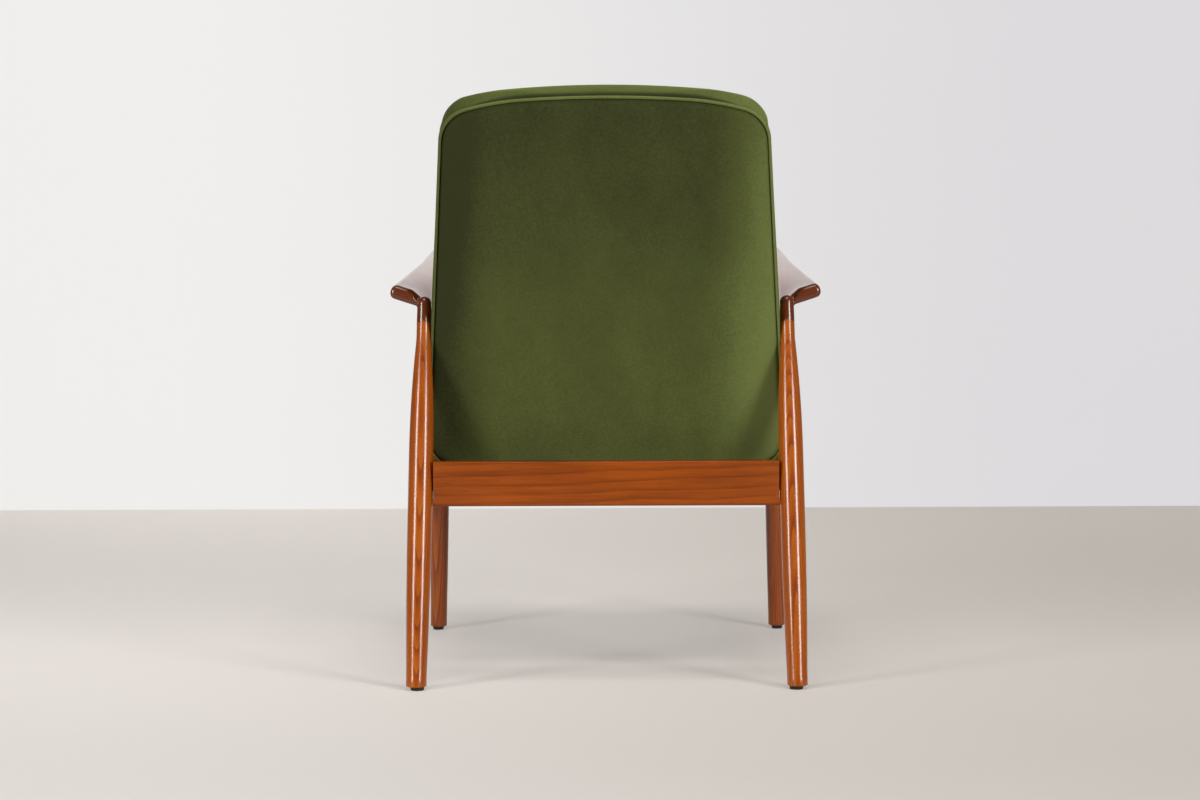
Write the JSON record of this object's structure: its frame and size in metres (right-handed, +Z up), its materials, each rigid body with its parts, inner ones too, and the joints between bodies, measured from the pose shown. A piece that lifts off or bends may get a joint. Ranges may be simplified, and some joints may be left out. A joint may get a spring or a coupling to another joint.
{
  "type": "occasional chair",
  "caption": "Occasional armchair with turned raked legs, carved show-wood arms, and an upholstered seat and reclined back edged with a corded welt.",
  "frame": {"origin": "on the floor under the middle of the chair's box", "axes": "+Z up, the sitter faces -Y, +X toward the sitter's left"},
  "size_m": [0.6816, 0.7677, 0.9491],
  "materials": {
    "stained_wood": "satin lacquer",
    "inner_wood": "raw",
    "velvet": "short velvet pile",
    "foam": "open foam",
    "webbing": "woven strap",
    "lining": "plain cloth",
    "glide": "matte",
    "steel": "zinc plated"
  },
  "bodies": {
    "root": {"left_rear_leg": "stained_wood", "right_rear_leg": "stained_wood", "left_front_leg": "stained_wood", "right_front_leg": "stained_wood", "left_arm": "stained_wood", "right_arm": "stained_wood", "left_side_rail": "stained_wood", "right_side_rail": "stained_wood", "rear_rail": "stained_wood", "front_rail": "stained_wood", "left_rear_corner_block": "inner_wood", "right_rear_corner_block": "inner_wood", "left_front_corner_block": "inner_wood", "right_front_corner_block": "inner_wood", "left_seat_cleat": "inner_wood", "right_seat_cleat": "inner_wood", "seat_front_bar": "inner_wood", "seat_rear_bar": "inner_wood", "left_seat_bar": "inner_wood", "right_seat_bar": "inner_wood", "left_back_stile": "inner_wood", "right_back_stile": "inner_wood", "back_top_rail": "inner_wood", "back_bottom_rail": "inner_wood", "seat_cover": "velvet", "back_cover": "velvet", "back_panel": "velvet", "back_welt": "velvet", "seat_pad": "foam", "back_pad": "foam", "seat_webbing": "webbing", "back_webbing": "webbing", "seat_lining": "lining", "rear_glides": "glide", "front_glides": "glide", "glide_nails": "steel", "cleat_screws": "steel", "seat_screws": "steel", "back_screws": "steel"}
  },
  "joints": []
}
